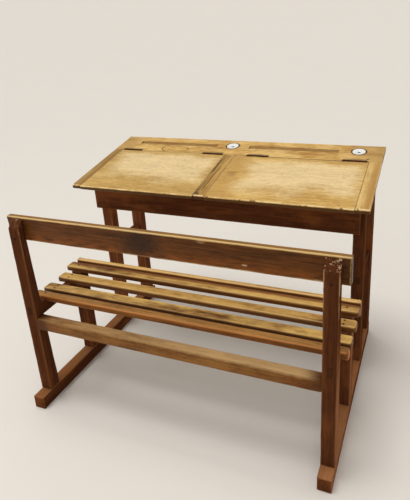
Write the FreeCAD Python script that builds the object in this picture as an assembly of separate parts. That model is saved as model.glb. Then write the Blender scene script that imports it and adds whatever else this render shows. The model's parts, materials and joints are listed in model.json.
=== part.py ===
"""Two-place school desk with lift lids and an attached slatted bench on two floor runners.

Millimetres. +X right, +Y from the bench towards the desk, +Z up. The origin lies on the floor, midway
across the width and midway along the depth.
"""
import FreeCAD, Part
import math
import os

V = FreeCAD.Vector

# Frame stock
frame_width = 990.0
stock_width = 40.0
leg_depth = 42.0
edge_ease = 2.0
fillet_share = 0.45
tolerance = 0.001
tenon_thickness = 13.0
tenon_shoulder = 7.0
tenon_clearance = 1.0
stub_tenon = 24.0
end_overhang = 21.5

# Runners
runner_height = 45.0
runner_rear_y = -409.5
runner_end_projection = 19.0

# Back posts
post_setback = 43.0
post_base_depth = 45.0
post_top_depth = 23.0
post_rear_lean = 1.0
post_height = 664.0
post_top_bevel = 26.0

# Backrest board and lower back rail
backrest_height = 76.0
backrest_thickness = 22.0
backrest_above_post = 4.0
backrest_round = 5.0
lower_rail_below_seat = 99.0
lower_rail_height = 42.0
lower_rail_thickness = 31.0
lower_rail_recess = 1.0

# Bench
bench_leg_offset = 244.0
seat_height = 384.0
seat_right_overhang = 16.5
slat_thickness = 17.0
seat_step = 16.0
bearer_height = 47.0
bearer_thickness = 26.0
bearer_tenon_height = 28.0
slat_round = 5.0
slat_corner = 9.0
rear_slat_width = 42.0
rear_rail_width = 32.0
rear_rail_thickness = 23.0
rear_rail_round = 9.0
front_slat_gap = 11.5
middle_slat_gap = 35.0
rear_slat_gap = 17.0
rear_rail_from_post = 30.0
scoop_clearance = 2.0
front_rail_left_overhang = 3.5
front_rail_thickness = 18.0
front_rail_height = 50.0
front_rail_proud = 11.0

# Desk legs and stretchers
desk_leg_offset = 474.0
desk_leg_spacing = 200.0
stretcher_bottom = 327.0
stretcher_height = 46.0
stretcher_thickness = 26.0
stretcher_tenon_height = 24.0

# Desk box
apron_height = 130.0
apron_thickness = 20.0
apron_left_overhang = 8.0
apron_right_inset = 16.0
box_side_thickness = 20.0
box_side_inset = 4.0
box_back_thickness = 18.0
box_floor_thickness = 12.0
box_floor_rise = 4.0
divider_thickness = 18.0

# Sloping top
top_slope = 10.0
top_front_height = 659.0
top_overhang = 125.0
top_thickness = 16.0
top_round = 5.0
ink_rail_depth = 124.0
hinge_ahead = 23.65
hinge_gap = 2.0
lid_side_gap = 1.5
lid_projection = 3.0
left_rail_width = 34.0
right_rail_width = 41.0
centre_rail_width = 39.0
centre_rail_x = -20.5

# Lid battens
batten_width = 40.0
batten_thickness = 12.0
batten_length = 145.0
batten_from_hinge = 22.0
batten_from_edge = 70.0

# Hinges
hinge_length = 80.0
barrel_radius = 3.5
pin_radius = 2.0
pin_clearance = 0.05
knuckle_gap = 0.3
barrel_room = 0.3
leaf_thickness = 1.8
leaf_height = 13.0
leaf_gap = 0.3
left_hinge_inset = 6.0
right_hinge_inset = 6.0
inner_hinge_inset_left = 9.0
inner_hinge_inset_right = 45.0

# Screws and nails
screw_radius = 1.5
screw_head_radius = 2.8
screw_head_depth = 1.3
hinge_screw_length = 18.0
hinge_screw_spacing = 50.0
hinge_screw_depth = 8.5
nail_radius = 1.4
nail_head_radius = 3.0
nail_head_depth = 1.2
nail_sink = 0.3
nail_length = 36.0
nail_edge = 11.0
apron_nail_rise = 30.0
apron_nail_drop = 40.0
backrest_screw_radius = 2.2
backrest_screw_head_radius = 4.2
backrest_screw_head_depth = 2.4
backrest_screw_bite = 14.0
backrest_screw_rise = 12.0

# Pen grooves and inkwells
groove_width = 26.0
groove_depth = 6.0
groove_centre = 72.0
groove_from_lid_edge = 48.0
left_groove_to_well = 35.5
well_to_right_groove = 41.5
right_groove_to_well = 42.5
well_setback = 74.0
centre_well_offset = -15.5
right_well_from_leg = 23.0
well_top_radius = 22.5
well_body_radius = 18.5
well_wall = 3.5
well_depth = 42.0
well_lip = 1.0
well_mouth_radius = 5.0
well_dish_depth = 3.5
well_dish_rim = 4.5
well_seat_depth = 8.0
well_rim_room = 3.0
well_body_room = 0.8

# Places worked out from the sizes
outer_x = frame_width / 2
inner_x = outer_x - stock_width
stock_mid_x = outer_x - stock_width / 2
post_rear_y = runner_rear_y + post_setback
post_front_y = post_rear_y + post_base_depth
bench_leg_y = post_rear_y + bench_leg_offset
bench_leg_front_y = bench_leg_y + leg_depth
front_leg_y = post_rear_y + desk_leg_offset
front_leg_back_y = front_leg_y + leg_depth
back_leg_y = front_leg_y + desk_leg_spacing
back_leg_back_y = back_leg_y + leg_depth
runner_end_y = back_leg_back_y + runner_end_projection
bearer_top = seat_height - slat_thickness
bearer_bottom = bearer_top - bearer_height
bearer_tenon_bottom = bearer_top - bearer_tenon_height
lower_rail_bottom = seat_height - lower_rail_below_seat
scoop_floor = bearer_top - seat_step
end_x = outer_x + end_overhang
seat_x1 = outer_x + seat_right_overhang
middle_slat_y = bench_leg_y - front_slat_gap
slope = math.radians(top_slope)
top_front_y = front_leg_y - top_overhang
hinge_line = (back_leg_y - hinge_ahead - top_front_y) / math.cos(slope)
lid_depth = hinge_line - hinge_gap / 2
ink_rail_front = hinge_line + hinge_gap / 2
apron_y = front_leg_y - apron_thickness
apron_top = top_front_height + (apron_y - top_front_y) * math.tan(slope) - top_thickness / math.cos(slope)
apron_bottom = apron_top - apron_height
left_lid_x0 = -end_x + left_rail_width + lid_side_gap
centre_rail_x0 = centre_rail_x - centre_rail_width / 2
centre_rail_x1 = centre_rail_x + centre_rail_width / 2
left_lid_x1 = centre_rail_x0 - lid_side_gap
right_lid_x0 = centre_rail_x1 + lid_side_gap
right_lid_x1 = end_x - right_rail_width - lid_side_gap
box_side_outer_x = outer_x - box_side_inset
box_side_inner_x = box_side_outer_x - box_side_thickness
box_floor_bottom = apron_bottom + box_floor_rise
box_floor_top = box_floor_bottom + box_floor_thickness
notch_radius = barrel_radius + barrel_room
well_hole_radius = well_top_radius + well_rim_room
well_shaft_radius = well_body_radius + well_body_room
centre_well_x = centre_rail_x + centre_well_offset
right_well_x = inner_x - right_well_from_leg
far = 8 * frame_width


def box(x0, x1, y0, y1, z0, z1):
    """A block between two corners."""
    return Part.makeBox(x1 - x0, y1 - y0, z1 - z0, V(x0, y0, z0))


def along_x(points, x0, x1):
    """A block with an outline of (y, z) points, drawn out from x0 to x1."""
    wire = Part.makePolygon([V(x0, y, z) for y, z in points + points[:1]])
    return Part.Face(wire).extrude(V(x1 - x0, 0, 0))


def mirror(shape):
    """The same piece for the left side."""
    return shape.mirror(V(0, 0, 0), V(1, 0, 0))


def rounded(shape, radius, wanted):
    """Rounds the straight edges that wanted(direction, middle) picks."""
    picked = []
    for edge in shape.Edges:
        start, end = edge.Vertexes[0].Point, edge.Vertexes[-1].Point
        direction = (end - start).normalize()
        if wanted(direction, (start + end) * 0.5):
            picked.append(edge)
    return shape.makeFillet(radius, picked)


def runs_along(direction, axis):
    """True when an edge runs along the named axis."""
    return abs(getattr(direction, axis)) > 0.9


def eased(shape, axis, radius=edge_ease):
    """Softens all the long edges that run along an axis."""
    return rounded(shape, radius, lambda d, m: runs_along(d, axis))


def on_top(shape):
    """Carries a piece from the flat drawing of the top, whose y runs up the slope, to its place."""
    placed = shape.copy()
    placed.rotate(V(0, 0, 0), V(1, 0, 0), top_slope)
    placed.translate(V(0, top_front_y, top_front_height))
    return placed


def under_top(shape):
    """Cuts a piece off along the underside of the sloping top."""
    return shape.cut(on_top(box(-far, far, -far, far, -top_thickness, far)))


def post_rear(z):
    """Rear face of a back post at a height."""
    return post_rear_y + post_rear_lean * (z - runner_height) / (post_height - runner_height)


def post_front(z):
    """Front face of a back post at a height."""
    top_y = post_rear_y + post_rear_lean + post_top_depth
    return post_front_y + (top_y - post_front_y) * (z - runner_height) / (post_height - runner_height)


def stub(y0, y1):
    """Tenon that goes down into a runner below a leg."""
    half = tenon_thickness / 2
    return box(stock_mid_x - half, stock_mid_x + half, y0 + tenon_shoulder, y1 - tenon_shoulder,
               runner_height - stub_tenon, runner_height)


def through_tenon(y0, y1, z0, z1):
    """Flat tenon that shows on the far side of a leg or post."""
    half = tenon_thickness / 2
    return box(stock_mid_x - half, stock_mid_x + half, y0, y1, z0, z1)


def screw(radius, head_radius, head_depth, length):
    """Countersunk screw, head face at the origin and point along +Y."""
    head = Part.makeCone(head_radius, radius, head_depth, V(0, 0, 0), V(0, 1, 0))
    return head.fuse(Part.makeCylinder(radius, length, V(0, 0, 0), V(0, 1, 0))).removeSplitter()


def nail(x, y, z, direction):
    """Flat-headed nail sunk just below the surface at a point."""
    point = V(x, y, z) + direction * nail_sink
    head = Part.makeCylinder(nail_head_radius, nail_head_depth, point, direction)
    return head.fuse(Part.makeCylinder(nail_radius, nail_length, point, direction)).removeSplitter()


def nail_room(x, y, z, direction):
    """The hole that a nail fills, open to the surface."""
    sunk = Part.makeCylinder(nail_head_radius, nail_sink, V(x, y, z), direction)
    return nail(x, y, z, direction).fuse(sunk)


def runner():
    """Floor runner with mortises for the post and the three legs."""
    body = box(inner_x, outer_x, runner_rear_y, runner_end_y, 0, runner_height)
    body = rounded(body, edge_ease, lambda d, m: runs_along(d, "y") and m.z > runner_height / 2)
    for y0, y1 in runner_feet:
        body = body.cut(stub(y0, y1))
    return body


def back_post():
    """Tapered back post with a sloping top, a mortise for the bearer and one for the lower rail."""
    rear_top = post_height - post_top_bevel
    outline = [(post_rear(runner_height), runner_height), (post_front(runner_height), runner_height),
               (post_front(post_height), post_height), (post_rear(rear_top), rear_top)]
    body = along_x(outline, inner_x, outer_x)
    body = rounded(body, edge_ease, lambda d, m: runs_along(d, "z") and m.y < post_rear(m.z) + edge_ease)
    body = body.fuse(stub(post_rear_y, post_front_y))
    body = body.cut(through_tenon(post_rear_y - far, post_front_y + far, bearer_tenon_bottom, bearer_top))
    for cutter in (lower_rail_tenons(), backrest_screw_rooms()):
        body = body.cut(cutter)
    return body.removeSplitter()


def lower_rail_tenons():
    """Stub tenons of the lower back rail, both ends in one shape, short of the bearer tenons."""
    y0 = lower_rail_rear_y + (lower_rail_thickness - tenon_thickness) / 2
    reach = inner_x + (stock_width - tenon_thickness) / 2 - tenon_clearance
    return box(-reach, reach, y0, y0 + tenon_thickness,
               lower_rail_bottom + tenon_shoulder, lower_rail_bottom + lower_rail_height - tenon_shoulder)


def lower_back_rail():
    """Rail between the back posts, just under the seat."""
    body = box(-inner_x, inner_x, lower_rail_rear_y, lower_rail_rear_y + lower_rail_thickness,
               lower_rail_bottom, lower_rail_bottom + lower_rail_height)
    return eased(body, "x").fuse(lower_rail_tenons()).removeSplitter()


def backrest_board():
    """Backrest board on the front faces of the posts, with a rounded top edge."""
    top = post_height + backrest_above_post
    bottom = top - backrest_height
    outline = [(post_front(bottom), bottom), (post_front(bottom) + backrest_thickness, bottom),
               (post_front(top) + backrest_thickness, top), (post_front(top), top)]
    body = along_x(outline, -end_x, end_x)
    body = rounded(body, backrest_round, lambda d, m: runs_along(d, "x") and m.z > post_height)
    body = rounded(body, edge_ease, lambda d, m: runs_along(d, "x") and m.z < bottom + edge_ease)
    return body.cut(backrest_screw_rooms())


def backrest_screw_places():
    """Heights of the screws that come through each post into the backrest board."""
    bottom = post_height + backrest_above_post - backrest_height
    return [bottom + backrest_screw_rise, bottom + 3 * backrest_screw_rise]


def backrest_screws():
    """Screws from the rear faces of the posts into the backrest board."""
    found = []
    for side in (-1, 1):
        for z in backrest_screw_places():
            start = post_rear(z) + edge_ease
            length = post_front(z) - start + backrest_screw_bite
            piece = screw(backrest_screw_radius, backrest_screw_head_radius, backrest_screw_head_depth,
                          length)
            piece.translate(V(side * stock_mid_x, start, z))
            found.append(piece)
    return found


def backrest_screw_rooms():
    """Holes for the backrest screws, open to the rear."""
    rooms = backrest_screws()
    for side in (-1, 1):
        for z in backrest_screw_places():
            rooms.append(Part.makeCylinder(backrest_screw_head_radius, 2 * edge_ease,
                                           V(side * stock_mid_x, post_rear(z) - edge_ease, z), V(0, 1, 0)))
    return Part.makeCompound(rooms)


def bench_leg():
    """Bench leg that carries the raised front slat."""
    body = box(inner_x, outer_x, bench_leg_y, bench_leg_front_y, runner_height, bearer_top)
    body = eased(body, "z").fuse(stub(bench_leg_y, bench_leg_front_y))
    body = body.cut(through_tenon(bench_leg_y, bench_leg_y + stub_tenon, bearer_bottom + tenon_shoulder,
                                  scoop_floor - tenon_shoulder))
    return body.cut(seat_nail_rooms()).removeSplitter()


def seat_bearer():
    """Scooped bearer under the slats, with a through tenon in the post and a stub tenon in the bench leg."""
    outline = [(post_front(bearer_bottom), bearer_bottom), (bench_leg_y, bearer_bottom),
               (bench_leg_y, scoop_floor), (scoop_rear_y, scoop_floor),
               (scoop_rear_y, bearer_top), (post_front(bearer_top), bearer_top)]
    half = bearer_thickness / 2
    body = along_x(outline, stock_mid_x - half, stock_mid_x + half)
    tenon = along_x([(post_rear(bearer_tenon_bottom), bearer_tenon_bottom),
                     (post_front(bearer_tenon_bottom), bearer_tenon_bottom),
                     (post_front(bearer_top), bearer_top), (post_rear(bearer_top), bearer_top)],
                    stock_mid_x - tenon_thickness / 2, stock_mid_x + tenon_thickness / 2)
    front = through_tenon(bench_leg_y, bench_leg_y + stub_tenon, bearer_bottom + tenon_shoulder,
                          scoop_floor - tenon_shoulder)
    return body.fuse([tenon, front]).cut(seat_nail_rooms()).removeSplitter()


def slat(y_front, width, z0, thickness, edge_round):
    """Seat slat across both bearers, rounded along its top edges and at its corners."""
    body = box(-end_x, seat_x1, y_front - width, y_front, z0, z0 + thickness)
    corner = min(slat_corner, fillet_share * width)
    body = rounded(body, corner, lambda d, m: runs_along(d, "z"))
    ridge = min(edge_round, fillet_share * thickness, fillet_share * width)
    top = [edge for edge in body.Edges if edge.BoundBox.ZMin > z0 + thickness - tolerance]
    body = body.makeFillet(ridge, top)
    return body.cut(seat_nail_rooms())


def seat_front_rail():
    """Rail on the front of the bench legs whose rounded top stands proud of the front slat."""
    top = seat_height + front_rail_proud
    body = box(-outer_x - front_rail_left_overhang, seat_x1, bench_leg_front_y,
               bench_leg_front_y + front_rail_thickness, top - front_rail_height, top)
    ridge = min(front_rail_proud, fillet_share * front_rail_thickness)
    body = rounded(body, ridge, lambda d, m: runs_along(d, "x") and m.z > top - edge_ease)
    return body.cut(seat_nail_rooms())


def seat_nail_places():
    """Points and directions of the nails that hold the seat, for both sides."""
    down, back = V(0, 0, -1), V(0, -1, 0)
    places = [((bench_leg_y + bench_leg_front_y) / 2, seat_height, down)]
    for y in (middle_slat_y - nail_edge, middle_slat_y - middle_slat_width + nail_edge,
              rear_slat_y - nail_edge, rear_slat_y - rear_slat_width + nail_edge):
        places.append((y, scoop_floor + slat_thickness, down))
    places.append((rear_rail_y - rear_rail_width / 2, scoop_floor + rear_rail_thickness, down))
    rail_mid = seat_height + front_rail_proud - front_rail_height / 2
    places.append((bench_leg_front_y + front_rail_thickness, rail_mid, back))
    return [(side * stock_mid_x, y, z, way) for side in (-1, 1) for y, z, way in places]


def seat_nails():
    """All the nails of the seat."""
    return [nail(*place) for place in seat_nail_places()]


def seat_nail_rooms():
    """Holes for the seat nails."""
    return Part.makeCompound([nail_room(*place) for place in seat_nail_places()])


def desk_leg(y0):
    """Desk leg up to the underside of the top."""
    body = box(inner_x, outer_x, y0, y0 + leg_depth, runner_height, far)
    body = eased(body, "z").fuse(stub(y0, y0 + leg_depth))
    return under_top(body)


def desk_front_leg():
    """Front desk leg with the through mortise of the stretcher and the apron's nails."""
    body = desk_leg(front_leg_y).cut(stretcher_tenon(front_leg_y, front_leg_back_y))
    return body.cut(apron_nail_rooms()).removeSplitter()


def desk_back_leg():
    """Back desk leg with the stub mortise of the stretcher."""
    return desk_leg(back_leg_y).cut(stretcher_tenon(back_leg_y, back_leg_y + stub_tenon)).removeSplitter()


def stretcher_tenon(y0, y1):
    """Tenon of the side stretcher between two planes."""
    top = stretcher_bottom + stretcher_height - tenon_shoulder / 2
    return through_tenon(y0, y1, top - stretcher_tenon_height, top)


def side_stretcher():
    """Stretcher between the front and back desk legs."""
    half = stretcher_thickness / 2
    body = box(stock_mid_x - half, stock_mid_x + half, front_leg_back_y, back_leg_y,
               stretcher_bottom, stretcher_bottom + stretcher_height)
    body = eased(body, "y")
    return body.fuse([stretcher_tenon(front_leg_y, front_leg_back_y),
                      stretcher_tenon(back_leg_y, back_leg_y + stub_tenon)]).removeSplitter()


def front_apron():
    """Apron nailed to the front faces of the front legs."""
    body = box(-outer_x - apron_left_overhang, outer_x - apron_right_inset, apron_y, front_leg_y,
               apron_bottom, far)
    body = rounded(body, edge_ease, lambda d, m: runs_along(d, "x") and m.z < apron_bottom + edge_ease)
    return under_top(body).cut(apron_nail_rooms())


def apron_nail_places():
    """Points of the nails through the apron into the front legs."""
    heights = [apron_bottom + apron_nail_rise, apron_top - apron_nail_drop]
    x = inner_x + nail_edge
    return [(side * x, apron_y, z, V(0, 1, 0)) for side in (-1, 1) for z in heights]


def apron_nails():
    """Nails of the apron."""
    return [nail(*place) for place in apron_nail_places()]


def apron_nail_rooms():
    """Holes for the apron nails."""
    return Part.makeCompound([nail_room(*place) for place in apron_nail_places()])


def box_side():
    """Side board of the book box, between the legs."""
    return under_top(box(box_side_inner_x, box_side_outer_x, front_leg_back_y, back_leg_y, apron_bottom, far))


def box_back():
    """Back board of the book box, between the back legs and in front of the inkwells."""
    return under_top(box(-inner_x, inner_x, back_leg_y, back_leg_y + box_back_thickness, apron_bottom, far))


def box_floor():
    """Floor of the book box, notched round the front legs."""
    body = box(-box_side_inner_x, box_side_inner_x, front_leg_y, back_leg_y, box_floor_bottom, box_floor_top)
    for x0, x1 in ((-outer_x, -inner_x), (inner_x, outer_x)):
        body = body.cut(box(x0, x1, front_leg_y, front_leg_back_y, box_floor_bottom, box_floor_top))
    return body


def box_divider():
    """Board between the two book boxes, under the centre rail."""
    half = divider_thickness / 2
    return under_top(box(centre_rail_x - half, centre_rail_x + half, front_leg_y, back_leg_y,
                         box_floor_top, far))


def front_rounded(x0, x1, y0, y1):
    """Board of the top with a rounded front edge."""
    body = box(x0, x1, y0, y1, -top_thickness, 0)
    radius = min(top_round, fillet_share * top_thickness)
    return rounded(body, radius, lambda d, m: runs_along(d, "x") and m.y < y0 + radius)


def top_rail(x0, x1):
    """Fixed rail of the top from the front edge to the ink rail."""
    return on_top(front_rounded(x0, x1, 0, ink_rail_front))


def hinge_starts():
    """Left ends of the four hinges with the sides of the lids that they carry."""
    return [(left_lid_x0 + left_hinge_inset, "left"),
            (left_lid_x1 - inner_hinge_inset_left - hinge_length, "left"),
            (right_lid_x0 + inner_hinge_inset_right, "right"),
            (right_lid_x1 - right_hinge_inset - hinge_length, "right")]


def barrel(x0, x1, radius):
    """Round bar on the hinge line of the flat drawing."""
    return Part.makeCylinder(radius, x1 - x0, V(x0, hinge_line, 0), V(1, 0, 0))


def knuckles(start):
    """The three stretches of a hinge barrel: first, middle and last."""
    third = hinge_length / 3
    half_gap = knuckle_gap / 2
    return [(start, start + third - half_gap), (start + third + half_gap, start + 2 * third - half_gap),
            (start + 2 * third + half_gap, start + hinge_length)]


def leaf(start, own, other, side, bore):
    """Hinge leaf with its own knuckles, clear of the other's; side is 1 when fixed, -1 on a lid."""
    inner = hinge_line + side * leaf_gap
    outer = inner + side * leaf_thickness
    body = box(start, start + hinge_length, min(inner, outer), max(inner, outer), -leaf_height, 0)
    body = body.fuse([barrel(x0, x1, barrel_radius) for x0, x1 in own])
    body = body.cut(barrel(start, start + hinge_length, bore))
    for x0, x1 in other:
        body = body.cut(barrel(x0 - knuckle_gap, x1 + knuckle_gap, notch_radius))
    return body.cut(Part.makeCompound(leaf_screws(start, side))).removeSplitter()


def leaf_screws(start, side):
    """Two screws of a leaf, heads level with its inner face."""
    found = []
    for shift in (-hinge_screw_spacing / 2, hinge_screw_spacing / 2):
        piece = screw(screw_radius, screw_head_radius, screw_head_depth, hinge_screw_length)
        if side < 0:
            piece.rotate(V(0, 0, 0), V(0, 0, 1), 180)
        piece.translate(V(start + hinge_length / 2 + shift, hinge_line + side * leaf_gap, -hinge_screw_depth))
        found.append(piece)
    return found


def hinge_room(start, side):
    """Room in a board's edge for the barrel, the leaf and its screws."""
    end = start + hinge_length
    outer = hinge_line + side * (leaf_gap + leaf_thickness)
    pocket = box(start, end, min(hinge_line, outer), max(hinge_line, outer), -leaf_height, notch_radius)
    round_part = barrel(start - barrel_room, end + barrel_room, notch_radius)
    return Part.makeCompound([pocket, round_part] + leaf_screws(start, side))


def lid_board(x0, x1, name):
    """Lid with its rounded front edge and the rooms for its hinges."""
    body = front_rounded(x0, x1, -lid_projection, lid_depth)
    for start, lid in hinge_starts():
        if lid == name:
            body = body.cut(hinge_room(start, -1))
    return on_top(body)


def lid_battens(x0, x1):
    """Two battens under a lid."""
    rear = lid_depth - batten_from_hinge
    found = []
    for middle in (x0 + batten_from_edge, x1 - batten_from_edge):
        body = box(middle - batten_width / 2, middle + batten_width / 2, rear - batten_length, rear,
                   -top_thickness - batten_thickness, -top_thickness)
        body = rounded(body, edge_ease, lambda d, m: m.z < -top_thickness - batten_thickness + edge_ease)
        found.append(on_top(body))
    return found


def wells():
    """Middles of the two inkwells on the flat drawing, by node name."""
    return {"inkwell_centre": centre_well_x, "inkwell_right": right_well_x}


def groove_spans():
    """Ends of the two pen grooves, between the lid edge and the wells."""
    return [(left_lid_x0 + groove_from_lid_edge, centre_well_x - well_hole_radius - left_groove_to_well),
            (centre_well_x + well_hole_radius + well_to_right_groove,
             right_well_x - well_hole_radius - right_groove_to_well)]


def ink_rail():
    """Rail behind the lids with two pen grooves, two stepped well holes and the rooms for the hinges."""
    body = box(-end_x, end_x, ink_rail_front, ink_rail_front + ink_rail_depth, -top_thickness, 0)
    body = rounded(body, edge_ease, lambda d, m: runs_along(d, "x") and m.y > ink_rail_front + edge_ease)
    radius = (groove_width ** 2 / 4 + groove_depth ** 2) / (2 * groove_depth)
    for start, end in groove_spans():
        centre = V(start, ink_rail_front + groove_centre, radius - groove_depth)
        body = body.cut(Part.makeCylinder(radius, end - start, centre, V(1, 0, 0)))
    well_y = ink_rail_front + well_setback
    for x in wells().values():
        for hole, depth in ((well_hole_radius, well_seat_depth), (well_shaft_radius, top_thickness)):
            body = body.cut(Part.makeCylinder(hole, depth, V(x, well_y, -depth)))
    for start, _ in hinge_starts():
        body = body.cut(hinge_room(start, 1))
    return on_top(body)


def inkwell(x):
    """Porcelain inkwell: a dished top with a small mouth over a round hollow body."""
    bore = well_body_radius - well_wall
    rim = well_top_radius - well_dish_rim
    ease = well_wall / 2
    floor = -well_depth + well_wall
    neck = well_lip - well_dish_depth
    outline = [(0, -well_depth), (well_body_radius - ease, -well_depth),
               (well_body_radius, -well_depth + ease), (well_body_radius, -well_seat_depth),
               (well_top_radius, -well_seat_depth),
               (well_top_radius, well_lip - ease), (well_top_radius - ease, well_lip), (rim, well_lip),
               (well_mouth_radius, neck), (well_mouth_radius, neck - well_wall),
               (bore, neck - 2 * well_wall), (bore, floor + ease), (bore - ease, floor), (0, floor)]
    wire = Part.makePolygon([V(r, 0, z) for r, z in outline + outline[:1]])
    body = Part.Face(wire).revolve(V(0, 0, 0), V(0, 0, 1), 360)
    body.translate(V(x, ink_rail_front + well_setback, 0))
    return on_top(body)


lower_rail_rear_y = post_rear(lower_rail_bottom) + lower_rail_recess
rear_rail_y = post_front(scoop_floor) + rear_rail_from_post + rear_rail_width
rear_slat_y = rear_rail_y + rear_slat_gap + rear_slat_width
middle_slat_width = middle_slat_y - middle_slat_gap - rear_slat_y
scoop_rear_y = rear_rail_y - rear_rail_width - scoop_clearance
runner_feet = [(post_rear_y, post_front_y), (bench_leg_y, bench_leg_front_y),
               (front_leg_y, front_leg_back_y), (back_leg_y, back_leg_back_y)]

pieces = {
    "backrest_board": [backrest_board()],
    "backrest_screws": backrest_screws(),
    "lower_back_rail": [lower_back_rail()],
    "seat_front_rail": [seat_front_rail()],
    "seat_slat_front": [slat(bench_leg_front_y, leg_depth, bearer_top, slat_thickness, slat_round)],
    "seat_slat_middle": [slat(middle_slat_y, middle_slat_width, scoop_floor, slat_thickness, slat_round)],
    "seat_slat_rear": [slat(rear_slat_y, rear_slat_width, scoop_floor, slat_thickness, slat_round)],
    "seat_rear_rail": [slat(rear_rail_y, rear_rail_width, scoop_floor, rear_rail_thickness, rear_rail_round)],
    "seat_nails": seat_nails(),
    "front_apron": [front_apron()],
    "apron_nails": apron_nails(),
    "box_back": [box_back()],
    "box_floor": [box_floor()],
    "box_divider": [box_divider()],
    "ink_rail": [ink_rail()],
    "top_rail_left": [top_rail(-end_x, -end_x + left_rail_width)],
    "top_rail_centre": [top_rail(centre_rail_x0, centre_rail_x1)],
    "top_rail_right": [top_rail(end_x - right_rail_width, end_x)],
    "lid_left_board": [lid_board(left_lid_x0, left_lid_x1, "left")],
    "lid_right_board": [lid_board(right_lid_x0, right_lid_x1, "right")],
    "lid_left_battens": lid_battens(left_lid_x0, left_lid_x1),
    "lid_right_battens": lid_battens(right_lid_x0, right_lid_x1),
}

for stem, make in (("runner", runner), ("back_post", back_post), ("bench_leg", bench_leg),
                   ("seat_bearer", seat_bearer), ("desk_front_leg", desk_front_leg),
                   ("desk_back_leg", desk_back_leg), ("side_stretcher", side_stretcher),
                   ("box_side", box_side)):
    right = make()
    pieces[stem + "_right"] = [right]
    pieces[stem + "_left"] = [mirror(right)]

fixed_screws = []
lid_screws = {"left": [], "right": []}
for number, (start, lid) in enumerate(hinge_starts(), 1):
    first, middle, last = knuckles(start)
    fixed_leaf = leaf(start, [first, last], [middle], 1, pin_radius)
    lid_leaf = leaf(start, [middle], [first, last], -1, pin_radius + pin_clearance)
    pieces["hinge_%d_fixed_leaf" % number] = [on_top(fixed_leaf)]
    pieces["hinge_%d_lid_leaf" % number] = [on_top(lid_leaf)]
    pieces["hinge_%d_pin" % number] = [on_top(barrel(start, start + hinge_length, pin_radius))]
    fixed_screws += [on_top(piece) for piece in leaf_screws(start, 1)]
    lid_screws[lid] += [on_top(piece) for piece in leaf_screws(start, -1)]
pieces["hinge_screws_fixed"] = fixed_screws
for lid, found in lid_screws.items():
    pieces["lid_%s_screws" % lid] = found

for name, x in wells().items():
    pieces[name] = [inkwell(x)]

os.makedirs("parts", exist_ok=True)
for name, solids in sorted(pieces.items()):
    shape = solids[0] if len(solids) == 1 else Part.makeCompound(solids)
    shape.exportStep("parts/%s.step" % name)
    print(name, len(shape.Solids), shape.isValid(), round(shape.Volume))
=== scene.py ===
import json
import math

import bpy
from bpy.props import FloatProperty, FloatVectorProperty, PointerProperty
from bpy.types import Operator, Panel, PropertyGroup
from mathutils import Matrix, Vector


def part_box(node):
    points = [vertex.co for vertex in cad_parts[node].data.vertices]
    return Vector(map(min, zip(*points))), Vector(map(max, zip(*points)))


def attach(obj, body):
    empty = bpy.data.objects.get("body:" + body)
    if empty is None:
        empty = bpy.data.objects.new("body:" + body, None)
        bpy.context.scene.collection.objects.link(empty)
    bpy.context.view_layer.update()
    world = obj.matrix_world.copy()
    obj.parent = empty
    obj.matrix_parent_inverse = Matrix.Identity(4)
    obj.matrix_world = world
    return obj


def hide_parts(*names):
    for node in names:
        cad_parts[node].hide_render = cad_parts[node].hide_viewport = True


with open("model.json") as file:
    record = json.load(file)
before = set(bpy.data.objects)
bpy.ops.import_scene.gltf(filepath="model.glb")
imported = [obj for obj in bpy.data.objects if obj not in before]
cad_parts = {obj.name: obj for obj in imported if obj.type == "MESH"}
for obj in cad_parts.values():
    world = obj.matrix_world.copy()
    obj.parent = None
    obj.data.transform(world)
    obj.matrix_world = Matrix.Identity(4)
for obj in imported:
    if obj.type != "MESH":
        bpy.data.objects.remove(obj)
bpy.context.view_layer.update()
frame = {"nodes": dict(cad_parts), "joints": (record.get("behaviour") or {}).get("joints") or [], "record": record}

bl_info = {
    "name": "Two-place school desk",
    "version": (1, 0, 0),
    "blender": (4, 5, 0),
    "location": "3D View > Sidebar > School desk",
    "description": "Dresses a school desk and its bench with worn boards, iron hinges and porcelain inkwells",
    "category": "Object",
}

BODY_OF = {node: body for body, nodes in frame["record"]["behaviour"]["bodies"].items() for node in nodes}
JOINTS = {joint["name"]: joint for joint in frame["joints"]}
X, Y, Z = 0, 1, 2
SIDES = (-1, 1)

# What counts as the same place, and how far a cutter reaches past a face.
CLOSE = 0.0001
PAST = 0.01

# The sloping top is drawn flat, with y up the slope from the hinge line and z out of its upper face.
HINGE = Vector(JOINTS["lid_left_hinge"]["pos_m"])
WELL_AXIS = Vector(JOINTS["inkwell_right_lift"]["axis"])
SLOPE = math.atan2(-WELL_AXIS.y, WELL_AXIS.z)
ON_TOP = Matrix.Translation((0, HINGE.y, HINGE.z)) @ Matrix.Rotation(SLOPE, 4, "X")
TOP_THICKNESS = 0.016
TOP_ARRIS = 0.0012
FRONT = -0.306
LID_OVERHANG = 0.003
HINGE_GAP = 0.001
FRONT_REACH = (HINGE_GAP - FRONT) / 2

# The rail behind the lids, its pen grooves, and the radius, foot and head of each step in a well's hole.
INK_RAIL_WIDTH = 0.124
GROOVES = ((-0.433, -0.097), (0.031, 0.364))
GROOVE_LINE, GROOVE_HEIGHT, GROOVE_RADIUS = 0.073, 0.01108, 0.01708
WELLS = ("inkwell_centre", "inkwell_right")
WELL_LINE = 0.075
WELL_STEPS = ((0.0255, -0.008, 0.01), (0.0193, -0.03, 0.0))

# The room of a hinge in the edge of a board.
BARREL_RADIUS, BARREL_ROOM = 0.0038, 0.0003
LEAF_THICKNESS, LEAF_FOOT, LEAF_HEAD = 0.0021, -0.013, 0.004

# The battens under a lid.
BATTEN_INSET, BATTEN_HALF = 0.07, 0.02
BATTEN_FRONT, BATTEN_REAR, BATTEN_FOOT = -0.168, -0.023, -0.028

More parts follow.
